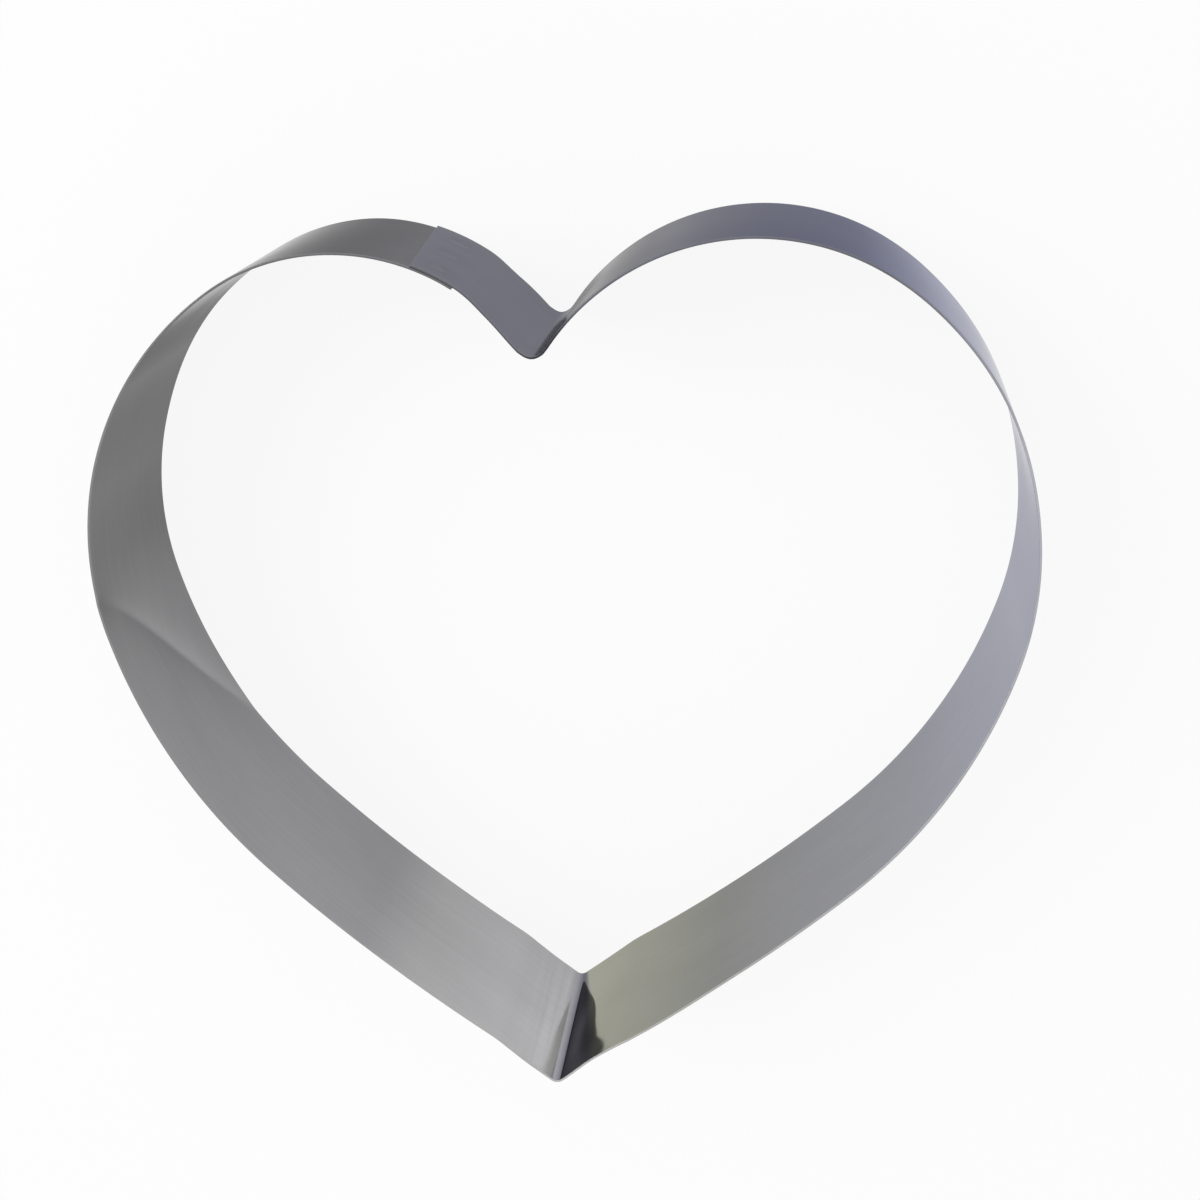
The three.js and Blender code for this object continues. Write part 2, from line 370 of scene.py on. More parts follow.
# Where the painted cool reflection on the right lobe begins, and how much of its colour the inner face
# keeps.
COOL_REFLECTION_LOBE = ((498, "#000000"), (506, "#ffffff"))
INNER_REFLECTION_CAST = 0.4
RUBBED = ((602, "#000000"), (612, "#ffffff"), (617, "#ffffff"), (622, "#000000"))
HAIR_PEAKS = (0.68, 0.74)
STREAK_RANGE = (0.35, 0.65)
# How much each mark darkens or brightens the steel.
LINE_SHADES = (0.975, 1.025)
HAZE_SHADES = (0.96, 1.04)
WEAR_SHADES = (1, 1.06)
STREAK_SHADES = (-0.09, 0.03)
# Roughness of the clear and the hazy sheet, and what each mark adds to it.
HAZE_RANGE = (0.3, 0.75)
SHEET_ROUGHNESS = (0.06, 0.13)
HAIR_DULL = 0.08
WEAR_DULL = 0.12
FOLD_SHADE_DULL = 0.05
RUB_DULL = 0.16
HAIR_CUT = -0.6
SHEET_RELIEF = {"Strength": 0.15, "Distance": 0.01 * MM}


def rolled_stainless():
    """The two faces of the strip."""
    material, tree = new_material("bright_rolled_stainless_steel")
    marks = {
        name: add(tree, "ShaderNodeAttribute", attribute_name=name).outputs["Fac"]
        for name in ("inside", "weld", "film", "trace", "drawn")
    }
    # The painted fold shade and the painted warm reflection lie on the inner face only.
    for name in ("film", "trace"):
        marks[name] = product(tree, marks[name], marks["inside"])

    # Rolling lines. Real ones lie a tenth of this apart and wouldn't show.
    lines = strip_marks(tree, length=40, pitch=1.1, Detail=3, Roughness=0.6)
    # Dull patches where the sheet was wiped and stacked, and hair scratches across the rolling lines.
    haze = strip_marks(tree, length=60, pitch=26, slant=20, Detail=4, Roughness=0.55)
    scratched = strip_marks(tree, length=12, pitch=0.7, slant=7, Detail=5, Roughness=0.7)
    hairs = add(tree, "ShaderNodeMapRange", [scratched, *HAIR_PEAKS, 0, 1])
    # Streaks that folding drew in the sheet on the left of the tip.
    streaked = strip_marks(tree, length=1.6, pitch=90, Detail=2)
    streaks = add(tree, "ShaderNodeMapRange", [streaked, *STREAK_RANGE, *STREAK_SHADES])
    wear = rim_wear(tree)
    # Sheet rubbed dull on the right lobe by the tool that pressed the cleft.
    rubbed = along_strip(tree, RUBBED)

    shade = product(
        tree,
        add(tree, "ShaderNodeMapRange", [lines, *NOISE_RANGE, *LINE_SHADES]),
        add(tree, "ShaderNodeMapRange", [haze, *NOISE_RANGE, *HAZE_SHADES]),
        add(tree, "ShaderNodeMapRange", [wear, 0, 1, *WEAR_SHADES]),
        add(tree, "ShaderNodeMath", [streaks, marks["drawn"], 1], operation="MULTIPLY_ADD"),
    )
    # The painted reflection tone, times the heat tints and the painted tip shading.
    tone = along_strip(tree, REFLECTION_TONES)
    for tint in heat_and_painted_tints(tree, marks):
        tone = add(tree, "ShaderNodeVectorMath", [tone, tint], operation="MULTIPLY")
    colour = add(tree, "ShaderNodeVectorMath", {0: tone, "Scale": shade}, operation="SCALE")

    # The right lobe has a painted cool reflection at low angles, which is weaker on its inner face.
    inner_lobe = product(tree, marks["inside"], along_strip(tree, COOL_REFLECTION_LOBE))
    cast = add(tree, "ShaderNodeMapRange", [inner_lobe, 0, 1, 1, INNER_REFLECTION_CAST])
    painted_grazing = add(tree, "ShaderNodeHueSaturation", {
        "Saturation": cast, "Color": along_strip(tree, REFLECTION_GRAZING_TINTS)})

    rough = add(tree, "ShaderNodeMapRange", [haze, *HAZE_RANGE, *SHEET_ROUGHNESS])
    dulled = ((hairs, HAIR_DULL), (wear, WEAR_DULL), (marks["film"], FOLD_SHADE_DULL), (rubbed, RUB_DULL))
    for mark, more in dulled:
        rough = add(tree, "ShaderNodeMath", [mark, more, rough], operation="MULTIPLY_ADD")
    height = add(tree, "ShaderNodeMath", [hairs, HAIR_CUT, lines], operation="MULTIPLY_ADD")
    relief = add(tree, "ShaderNodeBump", {"Height": height, **SHEET_RELIEF})
    shader = add(tree, "ShaderNodeBsdfPrincipled", {
        "Base Color": colour, "Metallic": 1, "Roughness": rough, "Normal": relief,
        "Specular Tint": painted_grazing})
    add(tree, "ShaderNodeOutputMaterial", {"Surface": shader})
    return material


rolled_steel = rolled_stainless()
print("made", rolled_steel.name, "with", len(rolled_steel.node_tree.nodes), "nodes")

# %% [markdown]
# ### The cut edge
#
# The strip was sheared from a wider coil, so its rims and ends are not polished: shearing leaves fine
# upright grooves, and deburring a satin gleam. They are too small to model, so they are a rougher metal
# with short marks across the edge. Its tone along the strip is painted reflection and shade: lighter
# towards the tip and on the right side, darker on the lobes, and darkest in the cleft, which is painted
# shade. Real grooves lie a tenth of this apart.

# %% Sheared and deburred stainless edge
# Painted reflection and shade: the edge's tone place by place along the strip, in millimetres.
EDGE_REFLECTION_TONES = (
    (60, "#6e6e70"), (130, "#868688"), (230, "#929294"), (300, "#b4b4b2"), (345, "#a0a09e"),
    (490, "#b0b0b8"), (540, "#6c6c74"), (606, "#6c6c74"), (613, "#3c3c40"), (620, "#3c3c40"),
    (624, "#64646a"),
)
KNOCK_SHADES = (0.92, 1.08)
EDGE_ROUGHNESS = (0.28, 0.46)
EDGE_RELIEF = {"Strength": 0.2, "Distance": 0.02 * MM}


def sheared_stainless():
    """The rims and the ends of the strip."""
    material, tree = new_material("sheared_stainless_edge")
    grooves = strip_marks(tree, length=0.5, pitch=12, Detail=3, Roughness=0.7)
    knocks = strip_marks(tree, length=9, pitch=40, Detail=4, Roughness=0.6)
    shade = add(tree, "ShaderNodeMapRange", [knocks, *NOISE_RANGE, *KNOCK_SHADES])
    colour = add(tree, "ShaderNodeVectorMath", {
        0: along_strip(tree, EDGE_REFLECTION_TONES), "Scale": shade}, operation="SCALE")
    rough = add(tree, "ShaderNodeMapRange", [grooves, *NOISE_RANGE, *EDGE_ROUGHNESS])
    relief = add(tree, "ShaderNodeBump", {"Height": grooves, **EDGE_RELIEF})
    shader = add(tree, "ShaderNodeBsdfPrincipled", {
        "Base Color": colour, "Metallic": 1, "Roughness": rough, "Normal": relief})
    add(tree, "ShaderNodeOutputMaterial", {"Surface": shader})
    return material


cut_edge = sheared_stainless()
print("made", cut_edge.name)

# %% [markdown]
# ## The strip itself
#
# The strip follows a rule, an upright line carried along the heart line, so Geometry Nodes make it:
# Curve to Mesh sweeps the line, and a noise moves the sheet a few hundredths of a millimetre, because
# thin sheet is never quite flat and its reflections waver. The distance along the curve is stored on
# the mesh for the material.

# %% Geometry Nodes for a bent strip
def new_tree(name, inputs):
    """An empty Geometry Nodes tree, and the sockets of its named inputs."""
    tree = bpy.data.node_groups.new(name, "GeometryNodeTree")
    for socket, kind in (("Geometry", "Geometry"), *inputs.items()):
        tree.interface.new_socket(socket, in_out="INPUT", socket_type="NodeSocket" + kind)
    tree.interface.new_socket("Geometry", in_out="OUTPUT", socket_type="NodeSocketGeometry")
    return tree, add(tree, "NodeGroupInput").outputs


def finish_tree(tree, geometry, material):
    """Ends a tree: smooth shading, real geometry and a finish."""
    soft = add(tree, "GeometryNodeSetShadeSmooth", {"Geometry": geometry})
    real = add(tree, "GeometryNodeRealizeInstances", {"Geometry": soft})
    finished = add(tree, "GeometryNodeSetMaterial", {"Geometry": real, "Material": material})
    add(tree, "NodeGroupOutput", {"Geometry": finished})


def bent_strip_tree():
    """A tree that sweeps an upright line along a curve and lets it waver a little."""
    tree, given = new_tree("bent strip", {
        "Strip Height": "Float", "Rows": "Int", "Start Distance": "Float", "Waviness": "Float",
        "Wave Length": "Float", "Seed": "Float", "Finish": "Material",
    })
    marked = add(tree, "GeometryNodeCaptureAttribute", {"Geometry": given["Geometry"]})
    marked.capture_items.new("FLOAT", "along")
    marked.capture_items.new("VECTOR", "tangent")
    tree.links.new(add(tree, "GeometryNodeSplineParameter").outputs["Length"], marked.inputs["along"])
    tree.links.new(add(tree, "GeometryNodeInputTangent").outputs["Tangent"], marked.inputs["tangent"])
    upright = add(tree, "GeometryNodeSetCurveNormal", {"Curve": marked}, mode="Z_UP")
    line = add(tree, "GeometryNodeCurvePrimitiveLine", {
        "Direction": (0, -1, 0), "Length": given["Strip Height"]}, mode="DIRECTION")
    rows = add(tree, "GeometryNodeResampleCurve", {"Curve": line, "Count": given["Rows"]})
    swept = add(tree, "GeometryNodeCurveToMesh", {"Curve": upright, "Profile Curve": rows})

    place = add(tree, "GeometryNodeInputPosition")
    height = add(tree, "ShaderNodeSeparateXYZ", [place]).outputs["Z"]
    along = add(tree, "ShaderNodeMath", [marked.outputs["along"], given["Start Distance"]], operation="ADD")
    strip = add(tree, "ShaderNodeCombineXYZ", {"X": along, "Y": height})
    stored = add(tree, "GeometryNodeStoreNamedAttribute", {
        "Geometry": swept, "Name": "strip", "Value": strip}, data_type="FLOAT_VECTOR", domain="POINT")

    outward = add(tree, "ShaderNodeVectorMath", [
        marked.outputs["tangent"], (0, 0, 1)], operation="CROSS_PRODUCT")
    fine = add(tree, "ShaderNodeMath", [1, given["Wave Length"]], operation="DIVIDE")
    noise = add(tree, "ShaderNodeTexNoise", {
        "Vector": place, "W": given["Seed"], "Scale": fine, "Detail": 1.5}, noise_dimensions="4D")
    centred = add(tree, "ShaderNodeMath", [noise, 0.5], operation="SUBTRACT")
    swing = product(tree, centred, given["Waviness"])
    shift = add(tree, "ShaderNodeVectorMath", {0: outward, "Scale": swing}, operation="SCALE")
    wavy = add(tree, "GeometryNodeSetPosition", {"Geometry": stored, "Offset": shift})
    finish_tree(tree, wavy, given["Finish"])
    return tree


strip_tree = bent_strip_tree()
print("bent strip tree:", len(strip_tree.nodes), "nodes")

# %% Sweep the strip
STRIP_ROWS = 62
WAVINESS = 0.16
WAVE_LENGTH = 48
WAVE_SEED = 3.0


def link(name, data):
    """A new object in the scene."""
    piece = bpy.data.objects.new(name, data)
    bpy.context.scene.collection.objects.link(piece)
    return piece


def settled(piece):
    """The mesh that a piece's modifiers make, as plain data."""
    bpy.context.view_layer.update()
    evaluated = piece.evaluated_get(bpy.context.evaluated_depsgraph_get())
    return bpy.data.meshes.new_from_object(evaluated)


def grown(piece, tree, **sizes):
    """The mesh that a Geometry Nodes tree makes of a piece, with the tree's inputs set by name."""
    grower = piece.modifiers.new(tree.name, "NODES")
    grower.node_group = tree
    for item in tree.interface.items_tree:
        key = item.name.replace(" ", "_").lower()
        if item.in_out == "INPUT" and key in sizes:
            grower[item.identifier] = sizes[key]
    mesh = settled(piece)
    bpy.data.objects.remove(piece)
    return mesh


heart_curve = bpy.data.curves.new("heart_line", "CURVE")
heart_curve.dimensions = "3D"
spline = heart_curve.splines.new("POLY")
spline.points.add(len(strip_line) - 1)
for spot, point in zip(spline.points, strip_line):
    spot.co = (point.real, point.imag, 0, 1)

sheet_mesh = grown(
    link("heart_line", heart_curve), strip_tree, strip_height=STRIP_HEIGHT * MM, rows=STRIP_ROWS,
    start_distance=INNER_END * MM, waviness=WAVINESS * MM, wave_length=WAVE_LENGTH * MM, seed=WAVE_SEED,
    finish=rolled_steel,
)
print("sheet faces:", len(sheet_mesh.polygons))

# %% [markdown]
# ### What the bending left in the sheet
#
# Marks of the making show in the reflections, so they are pressed into the mesh, not painted. A
# diagonal buckle crosses the left side where the strip was pulled round. Folding the tip bowed the left
# wall a little, and let the right one dip beside the fold and swell farther on, near the upper rim. The
# cleft was drawn a little into the notch, with a sharp crease in its fold. Bent by hand, the strip
# drifts by up to 0.6 mm from its line at the lap and on both lobes, and not always by the same amount
# at both rims. The outer end of the lap isn't cut quite square. And each spot weld's electrodes
# leave a dish on both sides of the lap. A loop over the vertices is the plainest way, since every mark
# is a formula of the place on the strip.

# %% Buckle and bowed tip
BUCKLE_AT_FLOOR = 196
BUCKLE_LEAN = 81.5
BUCKLE_SWING = 34.5
BUCKLE_DEPTH = 1.05
# Shares of that depth: at the lower rim, at the upper rim, and what half way up adds to them.
BUCKLE_SHARES = (0.35, 0.12, 0.765)
LOBE_SIDE_FALL = (8, 1.2)
TIP_SIDE_FALL = 11
CREST_ROUNDING = 0.6

LEFT_BOW = 0.2
RIGHT_DIP = 0.3
RIGHT_SWELL = 0.5
RIM_DELAY = 3.2
# Distances from the tip where the left bow starts, is deepest and ends.
LEFT_BOW_PLACES = (1, 9, 40)
# Distances from the tip where the right dip starts and is deepest, and the swell is full, falls and ends.
RIGHT_WALL_PLACES = (1, 6, 17, 19, 50)
RIGHT_WALL_HEIGHTS = (14, 34)
DELAY_HEIGHTS = (40, 50)


def buckle(distance, height):
    """The buckle on the left side: a crest that climbs towards the lobe, where its flank gets narrower."""
    share = height / STRIP_HEIGHT
    crest = BUCKLE_AT_FLOOR - BUCKLE_LEAN * share + BUCKLE_SWING * share**2
    behind = distance - crest
    rounded = math.hypot(behind, CREST_ROUNDING) - CREST_ROUNDING
    fall = TIP_SIDE_FALL if behind > 0 else LOBE_SIDE_FALL[0] * (1 - share) + LOBE_SIDE_FALL[1] * share
    lower, upper, half_way = BUCKLE_SHARES
    depth = BUCKLE_DEPTH * (lower + (upper - lower) * share + half_way * 4 * share * (1 - share))
    return depth * math.exp(-rounded / fall)


def bowed_tip(past_tip, height):
    """The walls beside the tip fold."""
    if past_tip < 0:
        start, deepest, end = LEFT_BOW_PLACES
        return LEFT_BOW * smooth(-past_tip, start, deepest) * (1 - smooth(-past_tip, deepest, end))
    start, dip, swell, fall, end = RIGHT_WALL_PLACES
    late = RIM_DELAY * smooth(height, *DELAY_HEIGHTS)
    out = (RIGHT_DIP + RIGHT_SWELL) * smooth(past_tip, dip + late, swell + late)
    out -= RIGHT_DIP * smooth(past_tip, start, dip + late)
    out -= RIGHT_SWELL * smooth(past_tip, fall + late, end)
    return out * smooth(height, *RIGHT_WALL_HEIGHTS)


print("deepest buckle in mm:", max(round(buckle(place, STRIP_HEIGHT / 2), 2) for place in range(*BUCKLED)))

# %% Drawn cleft and hand-bent rims
CLEFT_DRAW = 0.65
CLEFT_DRAW_SPAN = (-7, -1)
CLEFT_DRAW_FALL = 3.7
CLEFT_CREASE = 0.42
CREASE_SPAN = (-6, -2.8)
CREASE_FALL = 17
# Middle along the strip, reach before and after it, and how far out at the lower and the upper rim.
LAP_DRIFT = (14, 13, 34, -0.6, 0.2)
LEFT_LOBE_DRIFT = (92, 25, 28, 0.6, 0)
RIGHT_LOBE_DRIFT = (506, 33, 34, 0.5, 0.5)
HAND_DRIFTS = (LAP_DRIFT, LEFT_LOBE_DRIFT, RIGHT_LOBE_DRIFT)


def drawn_cleft(past_fold):
    """The sharp crease in the cleft fold, and its end, drawn out along the left lobe."""
    beyond = max(past_fold - CLEFT_DRAW_SPAN[1], 0)
    drawn = CLEFT_DRAW * smooth(past_fold, *CLEFT_DRAW_SPAN) * math.exp(-beyond / CLEFT_DRAW_FALL)
    return drawn - CLEFT_CREASE * smooth(past_fold, *CREASE_SPAN) * (1 - smooth(past_fold, 0, CREASE_FALL))


def hand_bent(distance, height):
    """How far bending by hand let the strip drift from its line, at each rim by its own amount."""
    place = distance % heart_length
    share = height / STRIP_HEIGHT
    out = 0
    for middle_place, before, after, lower_rim, upper_rim in HAND_DRIFTS:
        gap = (place - middle_place) / (before if place < middle_place else after)
        out += (lower_rim + (upper_rim - lower_rim) * share) * (1 - smooth(abs(gap), 0, 1))
    return out


def pressed_out(distance, height):
    """How far a place on the strip was pressed out of its line, in millimetres."""
    bends = hand_bent(distance, height) + buckle(distance, height)
    return bends + bowed_tip(distance - TIP_PLACE, height) + drawn_cleft(distance - heart_length)


buckle_middle = sum(BUCKLED) / 2
print("pressed out half way up the buckle in mm:", round(pressed_out(buckle_middle, STRIP_HEIGHT / 2), 2))

# %% Weld places and the slanted end
WELD_COUNT = 3
WELD_RIM_DISTANCE = 9
WELD_DIAMETER = 4
WELD_DISH = 0.06
# The dish starts and ends at these shares of the weld's diameter from its centre.
DISH_EDGE = (0.4, 0.65)
# The outer end is cut this much off square, about a place at this share of the height.
END_SLANT = math.tan(math.radians(4))
END_PIVOT = 0.54

weld_pitch = (STRIP_HEIGHT - 2 * WELD_RIM_DISTANCE) / (WELD_COUNT - 1)
weld_heights = [WELD_RIM_DISTANCE + weld_pitch * number for number in range(WELD_COUNT)]
weld_place = INNER_END + LAP_LENGTH / 2


def from_weld(distance, height):
    """How far a place on the strip is from the nearest weld's centre, in millimetres."""
    lap_distance = distance - heart_length if distance > heart_length else distance
    return min(math.hypot(lap_distance - weld_place, height - at) for at in weld_heights)


print("weld heights in mm:", [round(height, 1) for height in weld_heights])

# %% Painted shade, painted reflection tint and streaks at the tip
FOLD_SHADE_WIDTH = 2
FOLD_SHADE_WIDENING = 0.2
FOLD_SHADE_START = (-3, 2.5)
# The painted fold shade ends and the painted warm reflection begins between these shares of its width.
FOLD_SHADE_EDGE = (0.7, 1.05)
WARM_REFLECTION_END = (5, 65)
DRAWN_START = (-14, -4)
DRAWN_END = (-1, 0)


def painted_tip_shading(past_tip, height):
    """The painted shade in the tip fold, wider towards the upper rim, and the painted warm reflection tint
    farther right.
    """
    width = FOLD_SHADE_WIDTH + FOLD_SHADE_WIDENING * height
    beyond = smooth(past_tip, FOLD_SHADE_EDGE[0] * width, FOLD_SHADE_EDGE[1] * width)
    return smooth(past_tip, *FOLD_SHADE_START) * (1 - beyond), beyond * (1 - smooth(past_tip, *WARM_REFLECTION_END))


def tip_drawn(past_tip):
    """How much folding drew the sheet on the left of the tip."""
    return smooth(past_tip, *DRAWN_START) * (1 - smooth(past_tip, *DRAWN_END))


# The width of the painted shade in the tip fold at the upper rim.
print("painted fold shade at the upper rim in mm:", round(FOLD_SHADE_WIDTH + FOLD_SHADE_WIDENING * STRIP_HEIGHT, 1))

# %% Press the marks into the sheet
shades = {"weld": [], "film": [], "trace": [], "drawn": []}
for spot, strip in zip(sheet_mesh.vertices, sheet_mesh.attributes["strip"].data):
    distance = strip.vector.x / MM
    height = strip.vector.y / MM
    outward = place_on_heart(distance)[1]
    near = from_weld(distance, height)
    dish = WELD_DISH * (1 - smooth(near, DISH_EDGE[0] * WELD_DIAMETER, DISH_EDGE[1] * WELD_DIAMETER))
    out = pressed_out(distance, height) + (-dish if distance > heart_length else dish)
    off_square = END_SLANT * (END_PIVOT * STRIP_HEIGHT - height)
    forward = off_square * smooth(distance, OUTER_END - LAP_LENGTH, OUTER_END)
    move = (outward * out + outward * 1j * forward) * MM
    spot.co.x += move.real
    spot.co.y += move.imag

    # Painted shade in the tip fold and a painted warm reflection tint beside it.
    film, trace = painted_tip_shading(distance - TIP_PLACE, height)
    drawn = tip_drawn(distance - TIP_PLACE)
    for name, value in (("weld", near * MM), ("film", film), ("trace", trace), ("drawn", drawn)):
        shades[name].append(value)
for name, values in shades.items():
    sheet_mesh.attributes.new(name, "FLOAT", "POINT").data.foreach_set("value", values)
print("marked points:", len(sheet_mesh.vertices))

# %% [markdown]
# ### Thickness and eased rims
#
# The sheet is half a millimetre thick and its sheared edges were rubbed down so that they don't cut.
# Solidify gives both, a second face and rims with a finish of their own, and a narrow Bevel eases the
# corners. It hardens the normals, so that the flat faces keep their clean reflections up to the edge.

# %% Sheet thickness and eased rims
RIM_EASE = 0.12
SHARP_CORNER = math.radians(60)

sheet_mesh.materials.append(cut_edge)
band = link("heart_strip", sheet_mesh)
thicken = band.modifiers.new("sheet thickness", "SOLIDIFY")
thicken.thickness = SHEET_THICKNESS * MM
thicken.offset = 0
thicken.use_even_offset = True
thicken.material_offset_rim = 1
ease = band.modifiers.new("eased rims", "BEVEL")
ease.width = RIM_EASE * MM
ease.segments = 2
ease.limit_method = "ANGLE"
ease.angle_limit = SHARP_CORNER
ease.harden_normals = True
band_mesh = settled(band)
band.modifiers.clear()
band.data = band_mesh

# The finish differs a little between the two faces, so each point notes which one it lies on.
inside = []
for spot, strip in zip(band_mesh.vertices, band_mesh.attributes["strip"].data):
    outward = place_on_heart(strip.vector.x / MM)[1]
    inside.append(float(spot.normal.x * outward.real + spot.normal.y * outward.imag < 0))
band_mesh.attributes.new("inside", "FLOAT", "POINT").data.foreach_set("value", inside)

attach(band, "root")
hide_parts("heart_band")
print("band triangles:", sum(len(face.vertices) - 2 for face in band_mesh.polygons))

# %% [markdown]
# ## The spot welds
#
# Three spot welds hold the lap. Each is a round nugget through both layers, pressed flat and dull by
# the electrodes, with a faint straw tint from the heat. They repeat at one pitch, so Geometry Nodes
# set them: a line of points, and on each a short cylinder whose faces fall away at the edge into the
# dish of the sheet.

# %% Weld finish: electrode-pressed stainless steel
GRAIN_SIZE = 0.6
RING_PITCH = 0.45
WELD_TINTS = ((0, "#a0a0a6"), (0.6, "#9e9ea4"), (0.85, "#9c9b9f"), (1, "#9c9ca4"))
WELD_GRAZING_TINT = "#a1a1a8"
GRAIN_SHADES = (0.92, 1.08)
WELD_ROUGHNESS = (0.18, 0.32)
RING_RELIEF = {"Strength": 0.1, "Distance": 0.01 * MM}


def pressed_weld():
    """The faces of the weld nuggets: dull, with faint rings from the electrode's turned tip."""
    material, tree = new_material("electrode_pressed_stainless_steel")
    radius = add(tree, "ShaderNodeAttribute", attribute_name="from_centre").outputs["Fac"]
    place = add(tree, "ShaderNodeTexCoord").outputs["Object"]
    grain = add(tree, "ShaderNodeTexNoise", {
        "Vector": place, "Scale": 1 / (GRAIN_SIZE * MM), "Detail": 4, "Roughness": 0.7})
    turns = product(tree, radius, math.tau / (RING_PITCH * MM))
    rings = add(tree, "ShaderNodeMath", [turns], operation="SINE")
    share = add(tree, "ShaderNodeMapRange", [radius, 0, WELD_DIAMETER / 2 * MM, 0, 1])
    tint = add(tree, "ShaderNodeValToRGB", [share], stops=WELD_TINTS)
    shade = add(tree, "ShaderNodeMapRange", [grain, *NOISE_RANGE, *GRAIN_SHADES])
    colour = add(tree, "ShaderNodeVectorMath", {0: tint, "Scale": shade}, operation="SCALE")
    rough = add(tree, "ShaderNodeMapRange", [grain, *NOISE_RANGE, *WELD_ROUGHNESS])
    relief = add(tree, "ShaderNodeBump", {"Height": rings, **RING_RELIEF})
    shader = add(tree, "ShaderNodeBsdfPrincipled", {
        "Base Color": colour, "Metallic": 1, "Roughness": rough, "Normal": relief,
        "Specular Tint": linear(WELD_GRAZING_TINT)})
    add(tree, "ShaderNodeOutputMaterial", {"Surface": shader})
    return material


weld_steel = pressed_weld()
print("made", weld_steel.name)

# %% Geometry Nodes for a row of welds
EDGE_FALL = 0.05
EDGE_POWER = 6
NUGGET_SIDES = 40
NUGGET_RINGS = 6


def weld_row_tree():
    """A tree that sets weld nuggets at one pitch, each looking out through the sheet."""
    tree, given = new_tree("weld row", {
        "Count": "Int", "Lowest": "Vector", "Step": "Vector", "Outward": "Vector", "Radius": "Float",
        "Depth": "Float", "Edge Fall": "Float", "Finish": "Material",
    })
    row = add(tree, "GeometryNodeMeshLine", {
        "Count": given["Count"], "Start Location": given["Lowest"], "Offset": given["Step"]})
    nugget = add(tree, "GeometryNodeMeshCylinder", {
        "Vertices": NUGGET_SIDES, "Side Segments": 1, "Fill Segments": NUGGET_RINGS,
        "Radius": given["Radius"], "Depth": given["Depth"],
    }, fill_type="TRIANGLE_FAN")

    place = add(tree, "GeometryNodeInputPosition")
    parts = add(tree, "ShaderNodeSeparateXYZ", [place]).outputs
    flat = add(tree, "ShaderNodeCombineXYZ", {"X": parts["X"], "Y": parts["Y"]})
    radius = add(tree, "ShaderNodeVectorMath", [flat], operation="LENGTH").outputs["Value"]
    stored = add(tree, "GeometryNodeStoreNamedAttribute", {
        "Geometry": nugget, "Name": "from_centre", "Value": radius}, data_type="FLOAT", domain="POINT")
    share = add(tree, "ShaderNodeMath", [radius, given["Radius"]], operation="DIVIDE")
    bend = add(tree, "ShaderNodeMath", [share, EDGE_POWER], operation="POWER")
    side = add(tree, "ShaderNodeMath", [parts["Z"]], operation="SIGN")
    offset = add(tree, "ShaderNodeCombineXYZ", {"Z": product(tree, bend, side, given["Edge Fall"], -1)})
    shaped = add(tree, "GeometryNodeSetPosition", {"Geometry": stored, "Offset": offset})

    turned = add(tree, "FunctionNodeAlignRotationToVector", {"Vector": given["Outward"]}, axis="Z")
    set_in = add(tree, "GeometryNodeInstanceOnPoints", {
        "Points": row, "Instance": shaped, "Rotation": turned})
    finish_tree(tree, set_in, given["Finish"])
    return tree


weld_tree = weld_row_tree()
print("weld row tree:", len(weld_tree.nodes), "nodes")

# %% Set the welds in the lap
NUGGET_PROUD = 0.02

point, outward, _ = place_on_heart(weld_place)
lap_middle = point - middle + outward * LAP_STEP / 2
lap_spots = [lap_middle + outward * hand_bent(weld_place, height) for height in weld_heights]
lean = lap_spots[1] - lap_spots[0]
nugget_depth = LAP_STEP + SHEET_THICKNESS - 2 * (WELD_DISH - NUGGET_PROUD)
weld_mesh = grown(
    link("weld_row", bpy.data.meshes.new("weld_row")), weld_tree, count=WELD_COUNT,
    lowest=(lap_spots[0].real * MM, lap_spots[0].imag * MM, weld_heights[0] * MM),
    step=(lean.real * MM, lean.imag * MM, weld_pitch * MM),
    outward=(outward.real, outward.imag, 0.0), radius=WELD_DIAMETER / 2 * MM, depth=nugget_depth * MM,
    edge_fall=EDGE_FALL * MM, finish=weld_steel,
)
welds = link("spot_welds", weld_mesh)
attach(welds, "root")
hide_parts("spot_weld_1", "spot_weld_2", "spot_weld_3")
print("weld triangles:", sum(len(face.vertices) - 2 for face in weld_mesh.polygons))

# %% [markdown]
# ## Floor
#
# The ring stands on plain white paper. A mirror shows what lies beside it, so the paper matters as
# much as the steel. It is partly a soft white of its own wherever the camera or a reflection sees it,
# which keeps the background pale without more light on the ring, and the rest of it is lit paper that
# keeps the ring's shadow.

# %% White paper floor
FLOOR_SIZE = 6.0
FLOOR_DROP = 0.05
OWN_WHITE = 0.88
PAPER_TONE = "#f2f2f2"
PAPER_ROUGHNESS = 0.9
PAPER_GLOSS = 0.1


def seen_ray(tree):
    """One for the rays of the camera, a reflection or a view through glass, nothing for the rest."""
    ray = add(tree, "ShaderNodeLightPath").outputs
    seen = ray["Is Camera Ray"]
    for kind in ("Is Glossy Ray", "Is Transmission Ray"):
        seen = add(tree, "ShaderNodeMath", [seen, ray[kind]], operation="MAXIMUM")
    return seen


floor_mesh = bpy.data.meshes.new("floor")
shape = bmesh.new()
bmesh.ops.create_grid(shape, x_segments=1, y_segments=1, size=FLOOR_SIZE / 2)
bmesh.ops.translate(shape, verts=shape.verts, vec=(0, 0, -FLOOR_DROP * MM))
shape.to_mesh(floor_mesh)
shape.free()

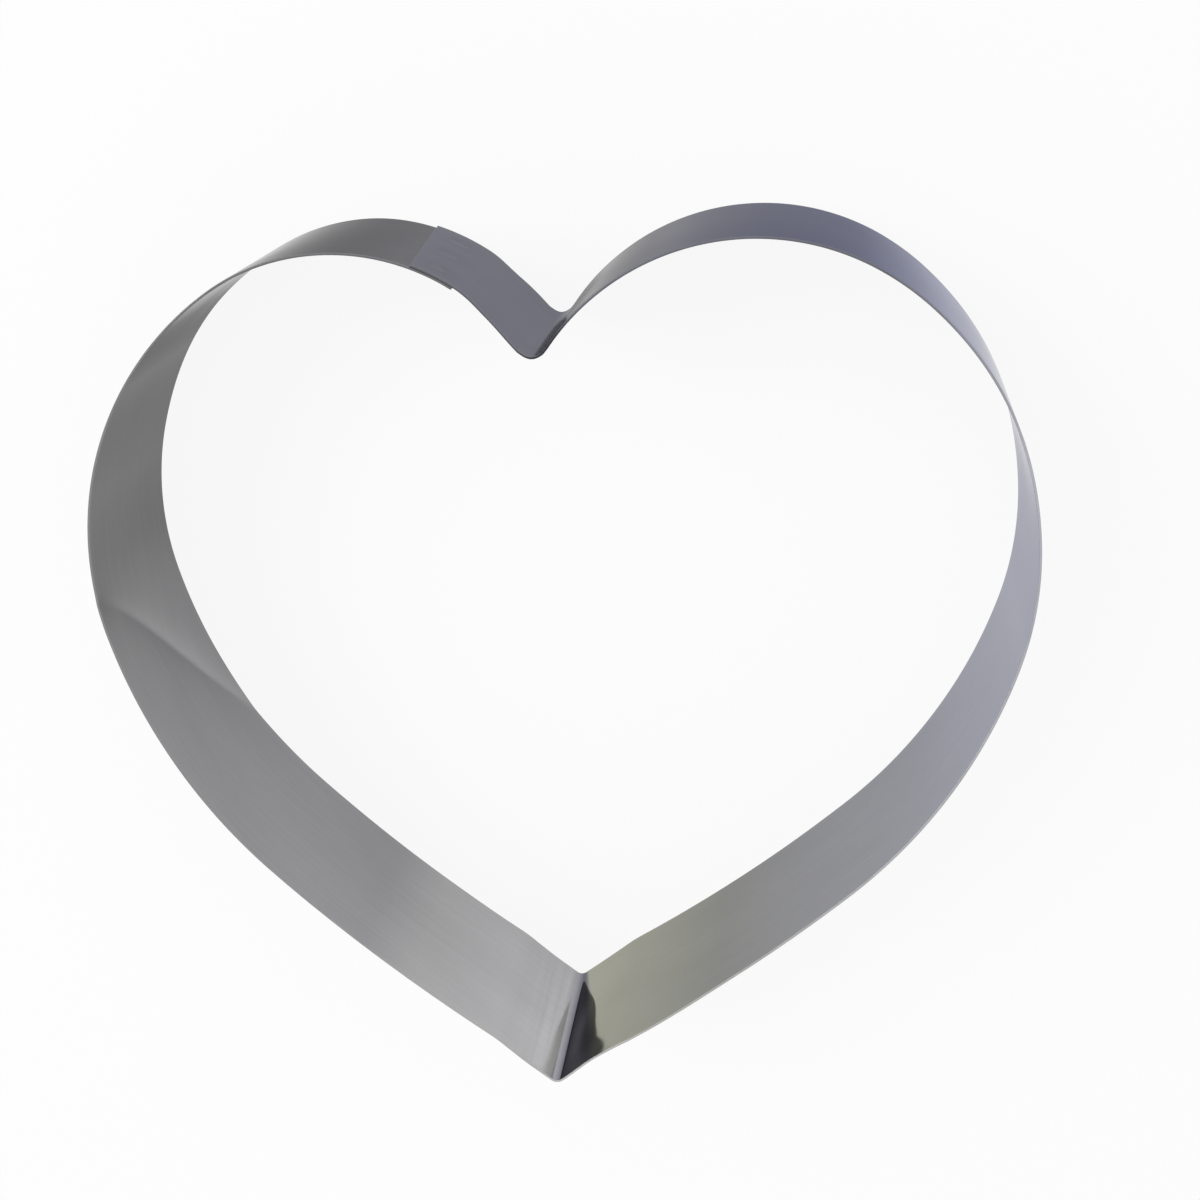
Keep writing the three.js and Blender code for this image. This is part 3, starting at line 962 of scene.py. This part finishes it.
paper, tree = new_material("matt_white_paper")
matt = add(tree, "ShaderNodeBsdfPrincipled", {
    "Base Color": linear(PAPER_TONE), "Roughness": PAPER_ROUGHNESS, "Specular IOR Level": PAPER_GLOSS})
glow = add(tree, "ShaderNodeEmission", {"Strength": 1})
mixed = add(tree, "ShaderNodeMixShader", [product(tree, seen_ray(tree), OWN_WHITE), matt, glow])
add(tree, "ShaderNodeOutputMaterial", {"Surface": mixed})
floor_mesh.materials.append(paper)
link("floor", floor_mesh)
print("floor of", FLOOR_SIZE, "m")

# %% [markdown]
# ## Light
#
# The photograph's light is a bright room with no hard shadows. A pale sky that dims towards the
# horizon stands for the room, and one soft box on the left, behind the lobes, gives the ring a shadow
# with a direction. Where the camera or a reflection looks past the paper, the room is plain white.

# %% Soft studio light
SKY_STRENGTH = 0.8
SKY_TONES = ((0.45, "#dcdcde"), (0.55, "#e6e6e8"), (0.75, "#ffffff"))
# Place and size of the soft box in metres.
KEY_PLACE = (-0.8, 0.4, 0.9)
KEY_SIZE = 0.7
KEY_WATTS = 5

world = bpy.data.worlds.new("studio")
bpy.context.scene.world = world
world.use_nodes = True
tree = world.node_tree
tree.nodes.clear()
direction = add(tree, "ShaderNodeTexCoord").outputs["Generated"]
up = add(tree, "ShaderNodeSeparateXYZ", [direction]).outputs["Z"]
height_share = add(tree, "ShaderNodeMapRange", [up, -1, 1, 0, 1])
sky = add(tree, "ShaderNodeValToRGB", [height_share], stops=SKY_TONES)
room = add(tree, "ShaderNodeBackground", {"Color": sky, "Strength": SKY_STRENGTH})
white = add(tree, "ShaderNodeBackground", {"Color": linear("#ffffff"), "Strength": 1})
mixed = add(tree, "ShaderNodeMixShader", [seen_ray(tree), room, white])
add(tree, "ShaderNodeOutputWorld", {"Surface": mixed})


def soft_box(name, place, size, watts):
    """A square soft box that looks at the ring."""
    lamp = bpy.data.lights.new(name, "AREA")
    lamp.size = size
    lamp.energy = watts
    box = link(name, lamp)
    box.location = place
    box.rotation_euler = (-Vector(place)).to_track_quat("-Z", "Y").to_euler()
    return box


key = soft_box("key_soft_box", KEY_PLACE, KEY_SIZE, KEY_WATTS)
print("key light:", key.data.energy, "W")

# %% [markdown]
# ## Camera
#
# The place, turn and lens come from fitting the two rims of the heart to their outlines in the
# photograph. The camera looks down from the side of the lobes, a little to the right.

# %% Camera
# Place in millimetres, turn in degrees, lens and sensor in millimetres of film.
CAMERA_PLACE = (52.6, 155.6, 453.4)
CAMERA_TURN = (-18.49, 6.06, 0)
CAMERA_LENS = 61.38
SENSOR_WIDTH = 36
NEAR_CLIP = 10

lens = bpy.data.cameras.new("camera")
lens.lens = CAMERA_LENS
lens.sensor_width = SENSOR_WIDTH
lens.clip_start = NEAR_CLIP * MM
camera = link("camera", lens)
camera.location = [value * MM for value in CAMERA_PLACE]
camera.rotation_euler = Euler([math.radians(turn) for turn in CAMERA_TURN])
bpy.context.scene.camera = camera
bpy.context.scene.view_settings.view_transform = "Standard"
print("camera height in mm:", CAMERA_PLACE[2])
